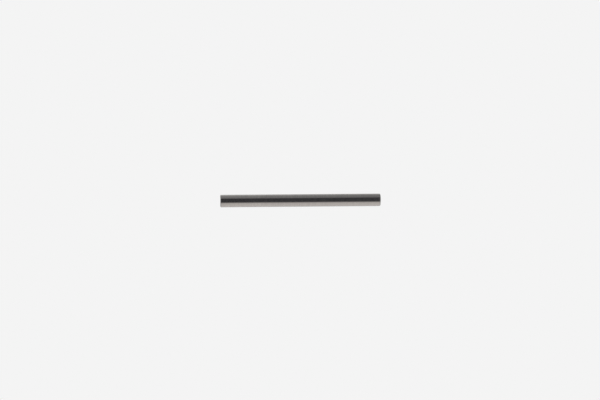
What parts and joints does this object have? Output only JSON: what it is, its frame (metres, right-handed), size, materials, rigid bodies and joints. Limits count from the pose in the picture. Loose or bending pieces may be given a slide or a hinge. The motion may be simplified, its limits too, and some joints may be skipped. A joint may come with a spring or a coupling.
{
  "type": "pressure pin",
  "caption": "Plain round pressure pin of ground steel with flat chamfered ends, which slides in a bore and passes a push from one end to the other.",
  "frame": {"origin": "centre of the lower flat end face, which the pin stands on", "axes": "+Z along the pin's axis, from the foot to the upper end; the pin is round, so X and Y are free"},
  "size_m": [0.003, 0.003, 0.039],
  "materials": {
    "steel": "centreless ground, bright, with very fine lines round the pin; faced ends"
  },
  "bodies": {
    "root": {"pin": "steel"}
  },
  "joints": []
}
